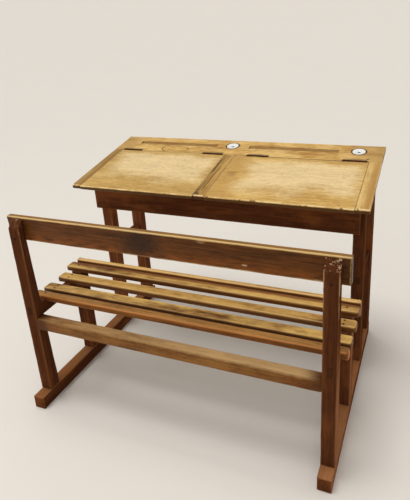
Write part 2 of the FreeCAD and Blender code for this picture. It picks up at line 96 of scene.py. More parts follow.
# The back posts taper upwards, and their tops slope down to the rear.
POST_TOP = 0.023
POST_LEAN = 0.001
POST_BEVEL = 0.026
POST_CUTS = 24

# The through tenons of the seat bearers and of the side stretchers; a finish knows a tenon by its margin.
BEARER_TENON = 0.028
STRETCHER_TENON = 0.024
STRETCHER_SHOULDER = 0.0035
TENON_HALF = 0.0065
TENON_ROOM = 0.0004
TENON_MARGIN = 0.05

# The pits of nails and screws.
NAIL_RADIUS, NAIL_DEPTH, NAIL_INSET = 0.0036, 0.0012, 0.011
SCREW_RADIUS, SCREW_DEPTH, SCREW_RISE = 0.0045, 0.003, 0.012


def colour(name, about, red, green, blue):
    """A colour setting from its screen values of 0 to 255."""
    return FloatVectorProperty(name=name, description=about, subtype="COLOR_GAMMA", size=3, min=0, max=1,
                               default=(red / 255, green / 255, blue / 255))


def length(name, about, metres):
    """A length setting in metres."""
    return FloatProperty(name=name, description=about, default=metres, min=0, unit="LENGTH", precision=5)


class DeskFinishes(PropertyGroup):
    """Colours of the woods, the iron and the porcelain."""
    lid_deep: colour("Lid, deep", "Varnish left at the edges of the lids", 175, 135, 70)
    lid_mid: colour("Lid, middle", "Main colour of the lids", 210, 173, 101)
    lid_pale: colour("Lid, pale", "Wood rubbed bare on the lids", 236, 209, 156)
    rail_deep: colour("Top rails, deep", "Darker streaks of the fixed rails of the top", 150, 106, 46)
    rail_mid: colour("Top rails, middle", "Main colour of the fixed rails of the top", 188, 148, 76)
    rail_pale: colour("Top rails, pale", "Rubbed edges of the fixed rails of the top", 218, 185, 121)
    seat_deep: colour("Seat, deep", "Varnish left in the shelter of the slats", 92, 54, 26)
    seat_mid: colour("Seat, middle", "Main colour of the slats", 148, 92, 42)
    seat_pale: colour("Seat, pale", "Rubbed tops of the slats", 224, 182, 104)
    # The slats' edges: rubbed pale, and a painted highlight.
    seat_ridge: colour("Seat, edges", "Rubbed edges of the slats", 238, 198, 142)
    frame_deep: colour("Frame, deep", "Dark streaks of the stained frame", 66, 36, 21)
    frame_mid: colour("Frame, middle", "Main colour of the stained frame", 98, 57, 34)
    frame_pale: colour("Frame, pale", "Stain rubbed off the edges of the frame", 146, 98, 62)
    frame_glow: colour("Frame glow", "Warmer patches of the stained frame", 130, 76, 38)
    back_glow: colour("Backrest glow", "Orange varnish along the foot of the backrest", 134, 74, 28)
    inside_mid: colour("Inside, middle", "Bare wood inside the book boxes", 148, 108, 64)
    iron_dark: colour("Iron, dark", "Dark iron of the hinges, nails and screws", 52, 29, 19)
    iron_rust: colour("Iron, rust", "Rust on the iron", 98, 52, 29)
    glaze: colour("Glaze", "White glaze of the inkwells", 240, 239, 233)


class DeskWear(PropertyGroup):
    """How far use has worn the boards."""
    arris: length("Arris", "Softened edge of a board", 0.0018)
    uneven: length("Unevenness", "How far the faces of a board wander", 0.0006)
    dents: length("Dents", "How far the edges of a board are knocked about", 0.0014)
    rub: length("Rubbed edge", "Width of the bare strip along an edge", 0.0045)


class DeskStage(PropertyGroup):
    """Floor, light and camera."""
    floor: colour("Floor", "Plain pale floor", 226, 220, 211)
    key: FloatProperty(name="Key light", description="Strength of the soft sun overhead", default=1.7, min=0)
    fill: FloatProperty(name="Fill light", description="Power of the soft lamp beside the camera",
                        default=16, min=0, unit="POWER")
    sky: FloatProperty(name="Sky", description="Strength of the light from all round", default=0.48, min=0)
    lens: FloatProperty(name="Lens", description="Focal length", default=37.22, min=1, unit="CAMERA")


# Modelling


def deselect():
    """Leaves nothing selected."""
    bpy.ops.object.select_all(action="DESELECT")


def mode(kind):
    """Goes into edit mode or back to object mode."""
    bpy.ops.object.mode_set(mode=kind)


def only(piece):
    """Makes a piece the one that the next tools act on."""
    deselect()
    piece.select_set(True)
    bpy.context.view_layer.objects.active = piece


def settle(piece, place=None):
    """Moves a piece to its place and writes the place into its mesh."""
    only(piece)
    if place is not None:
        piece.matrix_world = place @ piece.matrix_world
    bpy.ops.object.transform_apply(location=True, rotation=True, scale=True)
    return piece


def block(name, low, high):
    """A block between two corners, to be shaped into a board."""
    deselect()
    low, high = Vector(low), Vector(high)
    bpy.ops.mesh.primitive_cube_add(size=1, location=(low + high) / 2, scale=high - low)
    piece = bpy.context.object
    piece.name = name
    return settle(piece)


def rod(start, end, radius, sides=48):
    """A round cutter between two points on a line along one axis."""
    deselect()
    start, end = Vector(start), Vector(end)
    turn = Vector((0, 0, 1)).rotation_difference(end - start).to_euler()
    bpy.ops.mesh.primitive_cylinder_add(vertices=sides, radius=radius, depth=(end - start).length,
                                        location=(start + end) / 2, rotation=turn)
    return settle(bpy.context.object)


def mark(piece, kind, wanted):
    """Goes into edit mode with the wanted points, edges or faces selected."""
    only(piece)
    mode("EDIT")
    bpy.ops.mesh.select_mode(type=kind)
    bpy.ops.mesh.select_all(action="DESELECT")
    mode("OBJECT")
    mesh = piece.data
    for item in {"VERT": mesh.vertices, "EDGE": mesh.edges, "FACE": mesh.polygons}[kind]:
        item.select = wanted(item)
    mode("EDIT")


def pick(piece, wanted):
    """Goes into edit mode with the edges selected whose direction and middle are wanted."""
    def fits(edge):
        start, end = (piece.data.vertices[i].co for i in edge.vertices)
        return wanted((end - start).normalized(), (start + end) / 2)

    mark(piece, "EDGE", fits)


def round_edges(piece, radius, wanted):
    """Rounds the wanted edges."""
    pick(piece, wanted)
    bpy.ops.mesh.bevel(offset=radius, segments=5, affect="EDGES")
    mode("OBJECT")


def cross_cut(piece, axis, cuts, share=0.99):
    """Divides the edges of a block that run along an axis, share being how nearly."""
    pick(piece, lambda way, middle: abs(way[axis]) > share)
    bpy.ops.mesh.subdivide(number_cuts=cuts)
    mode("OBJECT")


def divide(piece, axis, step):
    """Divides a board across an axis, so that it can wander a little along it."""
    cuts = int(piece.dimensions[axis] / step)
    if cuts:
        cross_cut(piece, axis, cuts)


def shift_points(piece, wanted, move):
    """Moves the points of a block that are wanted."""
    mark(piece, "VERT", lambda point: wanted(point.co))
    bpy.ops.transform.translate(value=move)
    mode("OBJECT")


def extrude(rise):
    """Draws what is selected straight up, or down."""
    bpy.ops.mesh.extrude_region_move(TRANSFORM_OT_translate={"value": (0, 0, rise)})


def saw_under_top(piece):
    """Cuts a board off along the underside of the top."""
    only(piece)
    mode("EDIT")
    bpy.ops.mesh.select_all(action="SELECT")
    bpy.ops.mesh.bisect(plane_co=ON_TOP @ Vector((0, 0, -TOP_THICKNESS)), plane_no=WELL_AXIS, use_fill=True,
                        clear_outer=True)
    mode("OBJECT")


def finish_tool(piece, kind, **settings):
    """Adds a modifier, sets it up and applies it."""
    only(piece)
    tool = piece.modifiers.new(kind.lower(), kind)
    for key, value in settings.items():
        setattr(tool, key, value)
    bpy.ops.object.modifier_apply(modifier=tool.name)


def soften(piece, width, steps, angle):
    """Rounds the edges of a piece that are sharper than an angle."""
    finish_tool(piece, "BEVEL", width=width, segments=steps, limit_method="ANGLE",
                angle_limit=math.radians(angle))


def carve(piece, *cutters):
    """Cuts the shapes of other blocks out of a piece."""
    for cutter in cutters:
        finish_tool(piece, "BOOLEAN", operation="DIFFERENCE", solver="EXACT", object=cutter)
        bpy.data.objects.remove(cutter)


def join(piece, *others):
    """Puts several blocks into one piece."""
    only(piece)
    for other in others:
        other.select_set(True)
    bpy.ops.object.join()


def unevenness(name, scale):
    """A soft cloud that says how a surface wanders."""
    cloud = bpy.data.textures.get(name) or bpy.data.textures.new(name, "CLOUDS")
    cloud.noise_scale = scale
    cloud.noise_depth = 2
    return cloud


def extent(points):
    """The low and high corners round some points."""
    return [[pick_one(point[i] for point in points) for i in range(3)] for pick_one in (min, max)]


def weather(piece, arris=None, dents=1.0):
    """Softens the edges of a board, then lets its faces wander and its edges get knocked."""
    wear = bpy.context.scene.desk_wear
    soften(piece, arris or wear.arris, 3, 40)
    finish_tool(piece, "DISPLACE", texture=unevenness("wander", 0.11), strength=wear.uneven, mid_level=0.5)
    points = [point.co.copy() for point in piece.data.vertices]
    low, high = extent(points)
    edge_width = 0.0055
    near = []
    for number, point in enumerate(points):
        depths = sorted(min(point[i] - low[i], high[i] - point[i]) for i in range(3))
        if depths[1] < edge_width:
            near.append(number)
    piece.vertex_groups.new(name="edges").add(near, 1.0, "REPLACE")
    finish_tool(piece, "DISPLACE", texture=unevenness("knocks", 0.014), strength=wear.dents * dents,
                mid_level=0.62, vertex_group="edges")
    piece.vertex_groups.clear()


def number_grain(piece, along, across, seed, margin):
    """Writes where each point lies on its board, for a finish to follow the grain and find the edges."""
    order = (along, across, 3 - along - across)
    points = [[point.co[i] for i in order] for point in piece.data.vertices]
    low, high = extent(points)
    middle = [(a + b) / 2 for a, b in zip(low, high)]
    half = [(b - a) / 2 + margin for a, b in zip(low, high)]
    for name, kind, field, values in (
            ("place", "FLOAT_VECTOR", "vector", [p[i] - middle[i] for p in points for i in range(3)]),
            ("half", "FLOAT_VECTOR", "vector", half * len(points)),
            ("seed", "FLOAT", "value", [seed] * len(points))):
        piece.data.attributes.new(name, kind, "POINT").data.foreach_set(field, values)


def seed_of(node):
    """A number from a node's name, so that no two boards come from the same log."""
    return sum((i + 3) * ord(c) for i, c in enumerate(node)) % 97 / 9.7


def board(node, low, high, along, across, shape=(), cut=None, place=None, step=0.02, wide=None, margin=0.0,
          **wear):
    """A worn board in the place of a node: a block, divided, shaped, weathered, cut into by the cutters that
    cut makes, and numbered."""
    piece = block("worn_" + node, low, high)
    if step:
        divide(piece, along, step)
    if wide:
        divide(piece, across, wide)
    for work in shape:
        work(piece)
    weather(piece, **wear)
    if cut:
        carve(piece, *cut())
    number_grain(piece, along, across, seed_of(node), margin)
    return settle(piece, place) if place else piece


def nail_pits(way, places):
    """Cutters for the small pits in which the heads of nails sit; way points out of the board."""
    way = Vector(way)
    return [rod(Vector(place) - NAIL_DEPTH * way, Vector(place) + PAST * way, NAIL_RADIUS, 20)
            for place in places]


def dress(piece, node, finish, slot):
    """Gives a piece its finish and puts it in the place of its solid."""
    only(piece)
    bpy.ops.object.shade_smooth_by_angle(angle=math.radians(38))
    piece.data.materials.clear()
    piece.data.materials.append(finish)
    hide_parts(node)
    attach(piece, BODY_OF[node])


# Finishes


class Wire:
    """A socket in a finish's nodes; arithmetic on it adds Math nodes."""

    def __init__(self, tree, socket=None):
        self.tree = tree
        self.socket = socket

    def add(self, kind, settings=None, out=0, **values):
        """Adds a node, sets it up, then fills its sockets, which are named, or numbered as s0, s1."""
        node = self.tree.nodes.new(kind)
        for key, value in (settings or {}).items():
            setattr(node, key, value)
        for key, value in values.items():
            socket = node.inputs[int(key[1:])] if key[1:].isdigit() else node.inputs[key.replace("_", " ")]
            if isinstance(value, Wire):
                self.tree.links.new(value.socket, socket)
            else:
                socket.default_value = value
        return Wire(self.tree, node.outputs[out])

    def sum_of(self, kind, operation, *values, out=0):
        """A node that works on its numbered sockets."""
        fill = {"s%d" % i: value for i, value in enumerate(values)}
        return self.add(kind, {"operation": operation}, out, **fill)

    def math(self, operation, *values):
        """A Math node on these values."""
        return self.sum_of("ShaderNodeMath", operation, *values)

    def vector(self, operation, *values, out=0):
        """A Vector Math node with this socket first."""
        return self.sum_of("ShaderNodeVectorMath", operation, self, *values, out=out)

    def __add__(self, other):
        return self.math("ADD", self, other)

    def __sub__(self, other):
        return self.math("SUBTRACT", self, other)

    def __mul__(self, other):
        return self.math("MULTIPLY", self, other)

    __radd__ = __add__
    __rmul__ = __mul__

    def __rsub__(self, other):
        return self.math("SUBTRACT", other, self)

    def __abs__(self):
        return self.math("ABSOLUTE", self)

    def least(self, other):
        return self.math("MINIMUM", self, other)

    def most(self, other):
        return self.math("MAXIMUM", self, other)

    def rise(self, low, high):
        """0 below low, 1 above high and a soft step between."""
        soft = {"interpolation_type": "SMOOTHSTEP"}
        return self.add("ShaderNodeMapRange", soft, s0=self, s1=low, s2=high)

    def fall(self, low, high):
        """1 below low, 0 above high and a soft step between."""
        return 1 - self.rise(low, high)

    def about(self, spread):
        """A noise as a shift to both sides of nought."""
        return (self - 0.5) * spread

    def parts(self):
        """The three numbers of a vector."""
        outputs = self.add("ShaderNodeSeparateXYZ", s0=self).socket.node.outputs
        return [Wire(self.tree, output) for output in outputs]

    def noise(self, stretch, detail=2.0, roughness=0.55):
        """Noise on this vector, stretched by three numbers."""
        return self.add("ShaderNodeTexNoise", Vector=self.vector("MULTIPLY", stretch), Scale=1.0,
                        Detail=detail, Roughness=roughness)

    def blend(self, first, second):
        """Mixes two colours, this socket being the share of the second."""
        return self.add("ShaderNodeMix", {"data_type": "RGBA"}, out=2, s0=self, s6=first, s7=second)

    def over(self, shown, tone):
        """Lays a paint, or a screen colour, over what is shown, this socket being its share."""
        return self.blend(shown, paint(tone) if len(tone) == 3 else tone)


def paint(gamma):
    """A screen colour of 0 to 1 as the light values that a shader needs."""
    return tuple(c / 12.92 if c <= 0.04045 else ((c + 0.055) / 1.055) ** 2.4 for c in gamma) + (1.0,)


def tinted(tone, share):
    """A paint made lighter or darker."""
    return tuple(min(1.0, c * share) for c in tone[:3]) + (1.0,)


def setting(name):
    """The paint of a colour setting."""
    return paint(getattr(bpy.context.scene.desk_finishes, name))


def shades(stem, light=1.0):
    """The deep, middle and pale paints of a wood, made lighter or darker."""
    return [tinted(setting(stem + depth), light) for depth in ("_deep", "_mid", "_pale")]


def blank(name):
    """A new finish with its nodes and its shader."""
    finish = bpy.data.materials.new(name)
    finish.use_nodes = True
    return finish, Wire(finish.node_tree), finish.node_tree.nodes["Principled BSDF"]


def plug(wire, shader, socket):
    """Joins a value to a socket of the shader."""
    wire.tree.links.new(wire.socket, shader.inputs[socket])


def roughen(shader, height, strength, depth):
    """Gives a finish its small bumps."""
    plug(height.add("ShaderNodeBump", Strength=strength, Distance=depth, Height=height), shader, "Normal")


def on_object(start):
    """The place on the object itself."""
    return start.add("ShaderNodeTexCoord", out=3)


class Wood:
    """What a wooden finish can see of its board: place, nearness to the edges and the marks of the grain."""

    def __init__(self, start, short):
        self.place = start.add("ShaderNodeAttribute", {"attribute_name": "place"}, out=1)
        half = start.add("ShaderNodeAttribute", {"attribute_name": "half"}, out=1)
        seed = start.add("ShaderNodeAttribute", {"attribute_name": "seed"}, out=2)
        shift = start.add("ShaderNodeCombineXYZ", X=seed, Y=seed * 1.7, Z=seed * 0.6)
        self.log = self.place.vector("ADD", shift)
        self.along, self.across, self.up = self.place.parts()
        self.half_along, self.half_across, self.half_up = half.parts()
        near = half.vector("SUBTRACT", self.place.vector("ABSOLUTE"))
        self.near_end, self.near_side, self.near_face = near.parts()
        low, high = self.near_end.least(self.near_side), self.near_end.most(self.near_side)
        self.edge = low.most(high.least(self.near_face))
        self.below = self.half_up - self.up
        self.streaks = self.log.noise((2.0 * short, 24, 24), 3.0)
        self.lines = self.log.noise((8 * short, 210, 210), 3.0, 0.6)
        self.fibres = self.log.noise((45, 1200, 1200), 2.0)
        self.flecks = self.log.noise((85, 2300, 2300), 1.0).rise(0.6, 0.72)
        self.blotches = self.log.noise((8, 13, 13), 4.0, 0.6)
        self.mottle = self.log.noise((26 * short, 95, 95), 4.0, 0.65)
        self.dashes = self.log.noise((38 * short, 330, 330), 2.0).rise(0.56, 0.68)
        self.dents = self.log.noise((70, 70, 70), 3.0, 0.6)


def wood(name, tones, edge_wear, rub=None, stain=None, gloss=0.42, grain=0.6, streak=1.7, short=1.0,
         shine=0.18):
    """A worn, varnished wood; rub says where it is bare, stain gives the share and paint of each layer."""
    width = bpy.context.scene.desk_wear.rub
    deep, middle, pale = tones
    finish, start, shader = blank(name)
    w = Wood(start, short)
    ragged = w.edge + w.blotches.about(2.6 * width) + w.mottle.about(1.6 * width)
    worn = ragged.fall(0.2 * width, width) * edge_wear
    if rub:
        worn = worn.most(rub(w))
    tone = w.streaks.about(streak) + w.lines.about(2.6 * grain) + w.mottle.about(1.2 * grain)
    tone = tone + w.blotches.about(0.55 * streak) + 0.55
    base = tone.rise(0.0, 1.0).blend(deep, middle)
    fade = w.lines.about(1.3) + w.mottle.about(0.7) + w.streaks.about(0.8 * streak) + 0.55
    bare = fade.rise(0.05, 0.85).blend(tinted(pale, 0.76), pale)
    shown = worn.blend(base, bare)
    shown = (w.dashes * (1 - worn * 0.45) * (0.5 * grain)).blend(shown, deep)
    shown = (w.flecks * (0.35 * grain)).blend(shown, tinted(deep, 0.35))
    if stain:
        for share, layer in stain(w, worn):
            shown = share.over(shown, layer)
    plug(shown, shader, "Base Color")
    plug(worn * 0.2 + w.lines.about(0.16) + w.dents.about(0.14) + gloss, shader, "Roughness")
    roughen(shader, w.lines * 0.45 + w.fibres * 0.3 - w.flecks * 0.25 + w.dents * 0.9, 0.45, 0.0009)
    shader.inputs["Specular IOR Level"].default_value = shine
    shader.inputs["Specular Tint"].default_value = (1.0, 0.72, 0.46, 1.0)
    return finish


def reach(w, along, across, narrow=1.0):
    """Distance from a place on a board's face, counted less along the grain where narrow is under 1."""
    gap = w.place.vector("SUBTRACT", (along, across, 0)).vector("MULTIPLY", (narrow, 1, 0))
    return gap.vector("LENGTH", out=1)


def spot(w, along, across, radius, soft=0.5, narrow=1.0):
    """A soft mark at a place on a board's face."""
    gap = reach(w, along, across, narrow) + w.dents.about(0.7 * radius)
    return gap.fall(radius * (1 - soft), radius)


def between(value, low, high, soft):
    """1 between two values, with soft ends."""
    return value.rise(low - soft, low + soft) * value.fall(high - soft, high + soft)


def front_wear_and_painted_light(w, front):
    """A bare upper corner along the top's front, also painted as a highlight, painted shade under it, and chips;
    front is the way back.
    """
    loose = front + w.mottle.about(0.007)
    # corner: the upper corner rubbed bare, and a painted highlight along the rounded edge.
    corner = loose.fall(0.003, 0.007) * w.below.fall(0.002, 0.0045)
    patchy = w.log.noise((16, 16, 4), 3.0, 0.6).rise(0.42, 0.56) * 0.65 + 0.25
    yield corner * patchy, (0.95, 0.83, 0.6)
    # under: painted shade on the lower part of the front edge.
    under = front.fall(0.004, 0.009) * (w.below + w.mottle.about(0.004)).rise(0.0025, 0.0055)
    yield under * 0.92, (0.27, 0.155, 0.07)
    chips = w.log.noise((62, 62, 10), 3.0, 0.6).rise(0.56, 0.62) * loose.fall(0.003, 0.008)
    yield chips * 0.75, (0.4, 0.25, 0.11)


def hinge_shade_and_grime(w, spans, gap):
    """Painted shade and grime along the hinges; gap is the distance from the hinge line."""
    for start, end in spans:
        there = between(w.along, start - 0.002, end + 0.002, 0.004)
        # Painted shade, with grime, in a band along each hinge.
        darkening = there * (gap + w.mottle.about(0.006)).fall(0.003, 0.008)
        yield darkening * 0.9, (0.2, 0.11, 0.05)


def lid_finish(name, spans, light, ahead, marks, strip=0.0):
    """Golden lid wood, rubbed pale from the hinges to ahead of the front, with scratches, stains and dark
    marks; strip is the width of a tan strip at its left end."""
    def rub(w):
        front, rear = w.across + w.half_across, w.half_across - w.across
        left, right = w.along + w.half_along - strip, w.half_along - w.along
        inner = (front - ahead).least((rear - 0.018) * 2.5).least(((left - 0.015) * 1.3).least(right * 2.0))
        ragged = inner + w.blotches.about(0.17) + w.mottle.about(0.06) + w.lines.about(0.05)
        return ragged.rise(-0.015, 0.1) * 0.92 * w.below.fall(0.002, 0.005)

    def stain(w, worn):
        if strip:
            tan = (w.along + w.half_along + w.mottle.about(0.02)).fall(0.7 * strip, 2.8 * strip)
            yield tan * 0.45, (0.67, 0.5, 0.25)
        for scale, share in ((17, 0.26), (41, 0.18)):
            line = abs(w.log.noise((scale, 1.4 * scale, scale), 1.0) - 0.5)
            scratch = line.fall(0.003, 0.011) * w.blotches.rise(0.47, 0.6) * share
            yield scratch, (0.4, 0.31, 0.22)
        smudge = w.log.noise((14, 20, 20), 3.0).rise(0.56, 0.76) * worn * 0.4
        yield smudge, (0.76, 0.66, 0.56)
        specks = w.log.noise((210, 260, 260), 2.0).rise(0.66, 0.74) * 0.5
        yield specks, (0.46, 0.32, 0.16)
        for along, across, radius, share in marks:
            yield spot(w, along, across, radius, 0.7) * share, (0.3, 0.18, 0.08)
        grime = (w.near_end + w.blotches.about(0.01)).fall(0.0005, 0.0045)
        yield grime * (0.55 - w.along.rise(-0.1, 0.1) * 0.35), (0.4, 0.27, 0.13)
        rear = w.half_across - w.across
        seam = (rear + w.mottle.about(0.008)).fall(0.001, 0.003 + 0.1 * strip)
        yield seam * 0.85, (0.34, 0.21, 0.09)
        yield from hinge_shade_and_grime(w, spans, rear)
        yield from front_wear_and_painted_light(w, w.across + w.half_across)

    tones = (*shades("lid", light)[:2], setting("lid_pale"))
    return wood(name, tones, 0.35, rub, stain, grain=0.8, streak=1.2, short=2.2)


def rail_finish(name, light, bare, rim=0, cracks=()):
    """Golden wood of the fixed rails: cracked, or brown to the right with a pale corner on side rim."""
    def rub(w):
        return (w.blotches * 0.5 + w.streaks * 0.5).rise(0.46, 0.66) * 0.5 + (bare - 0.5)

    def stain(w, worn):
        for number, (start, end, across) in enumerate(cracks):
            bend = w.log.noise((22 + 9 * number, 1, 1), 2.0).about(0.009)
            split = abs(w.across - across + bend).fall(0.0006, 0.002)
            split = split * w.along.rise(start, start + 0.03) * w.along.fall(end - 0.05, end)
            yield split * 0.85, (0.2, 0.13, 0.07)
        if cracks:
            grey = (w.across + w.mottle.about(0.02)).fall(-0.012, 0.004)
            yield grey * 0.12, (0.45, 0.36, 0.22)
            wide = w.blotches.about(0.03) + w.mottle.about(0.014)
            darkening = (w.across + w.half_across + wide).fall(0.0005, 0.004)
            yield darkening * 0.8, (0.28, 0.19, 0.1)
            foul = spot(w, 0.012 - FRONT_REACH, -0.012, 0.02, 0.8) * w.mottle.rise(0.36, 0.56)
            yield foul * 0.8, (0.19, 0.15, 0.07)
        if rim:
            side = (w.across + w.mottle.about(0.012)).rise(-0.008, 0.01) * 0.65
            yield side, tinted(paint((0.66, 0.48, 0.24)), light)
            corner = (w.half_across - w.across * rim + w.mottle.about(0.003)).fall(0.001, 0.0035)
            corner = corner * w.below.fall(0.001, 0.003) * w.blotches.rise(0.38, 0.52)
            yield corner * 0.7, (0.87, 0.77, 0.56)
        yield from front_wear_and_painted_light(w, w.along + w.half_along)

    return wood(name, shades("rail", light), 0.6, rub, stain, grain=0.7, streak=1.3)


def ink_rail_finish(name, spans, rings, knots, wells):
    """Golden wood of the rail behind the lids, with painted shade in its grooves and round its holes, and painted
    shade with grime at its hinges.
    """
    def rub(w):
        return (w.blotches * 0.5 + w.mottle * 0.5).rise(0.4, 0.62) * 0.75

    def stain(w, worn):
        ends = (w.near_end + w.blotches.about(0.08)).fall(0.02, 0.12)
        yield ends * 0.55, (0.64, 0.5, 0.28)
        inside = w.near_side.rise(0.02, 0.024)
        # Painted shade inside the grooves and holes, deeper still far down in the holes.
        yield w.below.rise(0.0006, 0.002) * inside * 0.7, (0.47, 0.33, 0.17)
        yield w.below.rise(0.0064, 0.0074) * inside * 0.85, (0.16, 0.1, 0.06)
        for along, across, radius in rings:
            line = abs(reach(w, along, across) + w.dents.about(0.006) - radius).fall(0.001, 0.004)
            yield line * w.along.fall(along - 0.01, along + 0.006) * 0.7, (0.3, 0.2, 0.1)
        for along, across, radius in knots:
            yield spot(w, along, across, radius, 0.7) * 0.85, (0.26, 0.16, 0.07)
        # A ring of painted shade round each well, where the gap round the inkwell lies.
        for along, across in wells:
            ring = (reach(w, along, across) + w.mottle.about(0.004)).fall(0.0262, 0.0295)
            yield ring * 0.85, (0.2, 0.12, 0.06)
        gap = w.across + w.half_across
        for start, end in spans:
            plate = between(w.along, start, end, 0.003) * (gap + w.mottle.about(0.01)).fall(0.012, 0.02)
            yield plate * 0.6, (0.44, 0.35, 0.25)
        yield from hinge_shade_and_grime(w, spans, gap)

    return wood(name, shades("rail", 1.22), 0.6, rub, stain, streak=1.5, short=0.9)


def seat_finish(name, golden=0.9, shelter=0.0, on_edge=False, rim=0.75, rim_tone=None, shade=0.6, turn=0.0):
    """Slat wood: golden on top, pale by rim along the upper edges, rubbed bare and also a painted highlight,
    brown by shade from turn down as painted shade on the sides, and sheltered behind; a rail stands on edge."""
    def under(w):
        return w.half_across - w.across if on_edge else w.below

    def rub(w):
        top = (under(w) + w.mottle.about(0.005)).fall(0.002, 0.0065)
        patches = w.blotches.about(1.2) + w.streaks.about(1.2) + w.mottle.about(0.7)
        share = top * (patches + 0.62).rise(0.1, 0.85) * golden
        if shelter:
            share = share * (1 - (w.across + w.blotches.about(0.02)).rise(-0.002, 0.012) * shelter)
        return share

    def stain(w, worn):
        side = under(w).rise(turn, turn + 0.0022)
        # ridge: the upper edges rubbed pale, and a painted highlight on their rounding.
        ridge = (w.edge + w.mottle.about(0.004)).fall(0.002, 0.007) * (1 - side)
        ridge = ridge * (w.blotches.about(1.2) + w.lines.about(0.8) + 0.85).rise(0.2, 0.8)
        ridge = ridge * (w.near_end.rise(0.002, 0.012) * 0.65 + 0.35)
        yield ridge * rim, rim_tone or setting("seat_ridge")
        # Painted shade on the sides of the slats below the turn.
        yield side * shade, (0.26, 0.13, 0.05)
        ends = (w.near_end + w.mottle.about(0.002)).fall(0.0012, 0.003) * under(w).rise(0.002, 0.005)
        yield ends * (0.95 - shade), (0.74, 0.43, 0.17)
        if shelter:
            band = (w.across + w.blotches.about(0.012)).rise(0.0, 0.009) * under(w).fall(0.004, 0.007) * 0.7
            yield band * shelter, (0.47, 0.29, 0.19)

    return wood(name, shades("seat"), 0.25, rub, stain)


def backrest_finish(name):
    """Backrest wood: dark, with pale worn edges along its top, an orange glow along its foot and painted shade at
    its ends.
    """
    def rub(w):
        return (w.across - w.half_across + w.mottle.about(0.004)).rise(-0.0055, -0.0015) * 0.75

    def stain(w, worn):
        low = (w.across + w.streaks.about(0.05)).fall(-0.034, 0.004) * w.mottle.rise(0.3, 0.65)
        yield low * 0.8 * (1 - worn), setting("back_glow")
        hand = spot(w, -0.05, 0.008, 0.1, 0.9) * w.streaks.rise(0.25, 0.5) * (1 - worn)
        yield hand * 0.85, (0.15, 0.1, 0.085)
        for along, across, radius, share in ((0.251, -0.021, 0.0035, 0.6), (0.133, 0.03, 0.006, 0.2)):
            yield spot(w, along, across, radius, 0.6, 0.35) * share, (0.85, 0.72, 0.55)
        ridge = worn * (w.near_face + w.mottle.about(0.003)).fall(0.003, 0.006)
        yield ridge * 0.9, (0.92, 0.79, 0.55)
        # Painted shade on the ends that reach past the posts, and on the end faces.
        shaded_ends = (w.near_end + w.mottle.about(0.01)).fall(0.018, 0.03) * (1 - worn)
        yield shaded_ends * 0.4, (0.14, 0.09, 0.06)
        end = w.near_end.fall(0.0012, 0.003) * (w.half_across - w.across).rise(0.004, 0.02)
        yield end * 0.8, (0.3, 0.19, 0.1)

    tones = [paint(tone) for tone in ((0.22, 0.12, 0.05), (0.41, 0.235, 0.1), (0.6, 0.43, 0.2))]
    return wood(name, tones, 0.45, rub, stain, gloss=0.4, streak=1.3)


def lower_rail_finish(name):
    """Orange-brown wood of the lower back rail, a little bare, pale along its top with painted light, and darker
    towards its ends.
    """
    def rub(w):
        ends = (w.near_end + w.blotches.about(0.08)).rise(0.02, 0.12)
        return (w.blotches * 0.6 + w.streaks * 0.5).rise(0.4, 0.75) * 0.16 * ends

    def stain(w, worn):
        # Painted light on the top face and its rounded front edge, mottled like bare wood.
        top = (w.across - w.half_across + w.mottle.about(0.008)).rise(-0.014, -0.001)
        bare = (w.along * 0.5 + w.blotches.about(0.7) + w.lines.about(0.7) + 0.62).rise(0.1, 0.95)
        ends = (w.near_end + w.blotches.about(0.05)).rise(0.0, 0.05)
        yield top * bare * ends * 0.9, (0.74, 0.6, 0.41)
        # Darker towards both ends.
        darkening = (w.near_end + w.blotches.about(0.04)).fall(0.0, 0.07)
        yield darkening * 0.55, (0.16, 0.09, 0.05)

    tones = (paint((0.31, 0.165, 0.065)), paint((0.5, 0.295, 0.12)), setting("seat_pale"))
    return wood(name, tones, 0.1, rub, stain, gloss=0.5, grain=0.75, streak=1.2, short=1.8)


def frame_finish(name, dust=0.0, bare_top=0.0, light=1.0, streak=0.9, side=0.0):
    """Dark stained frame wood; dust pales upper faces, side paints light bounced from the floor onto the foot of
    the face to the right, and bare_top is how far use has bared the upper end."""
    def rub(w):
        return (w.up + w.blotches.about(0.01) - w.half_up).rise(-0.005, -0.0005) * dust

    def stain(w, worn):
        glow = (w.blotches * 0.6 + w.streaks * 0.4).rise(0.48, 0.62) * 0.4
        yield glow, tinted(setting("frame_glow"), light)
        tenon = w.half_up.rise(0.9 * TENON_MARGIN, TENON_MARGIN)
        yield tenon * 0.75, (0.23, 0.15, 0.085)
        if side:
            # Painted light: floor bounce on the foot of the face to the right.
            face = (w.half_across - w.across + w.mottle.about(0.002)).fall(0.0005, 0.0025)
            foot = (w.along + w.half_along + w.blotches.about(0.2)).fall(0.2, 0.46)
            grain = (w.streaks.about(1.4) + w.lines.about(1.1) + w.mottle.about(0.6) + 0.55).rise(0.05, 0.9)
            yield face * foot * grain * side, (0.63, 0.44, 0.31)
        if bare_top:
            from_top = w.half_along - w.along + w.blotches.about(0.04)
            edges = (w.edge + w.mottle.about(0.004)).fall(0.001, 0.004) * from_top.fall(0.06, 0.2)
            yield edges * w.mottle.rise(0.4, 0.54) * bare_top, (0.74, 0.62, 0.48)
            scores = w.log.noise((150, 75, 75), 3.0, 0.7).rise(0.57, 0.63) * from_top.fall(0.014, 0.034)
            yield scores * bare_top, (0.7, 0.58, 0.46)

    return wood(name, shades("frame", light), 0.4, rub if dust else None, stain, gloss=0.55, grain=0.45,
                streak=streak, shine=0.0)


def inside_finish(name):
    """Bare aged wood inside the book boxes."""
    tones = [tinted(setting("inside_mid"), light) for light in (0.5, 1.0, 1.4)]
    return wood(name, tones, 0.4, gloss=0.62, grain=0.8)


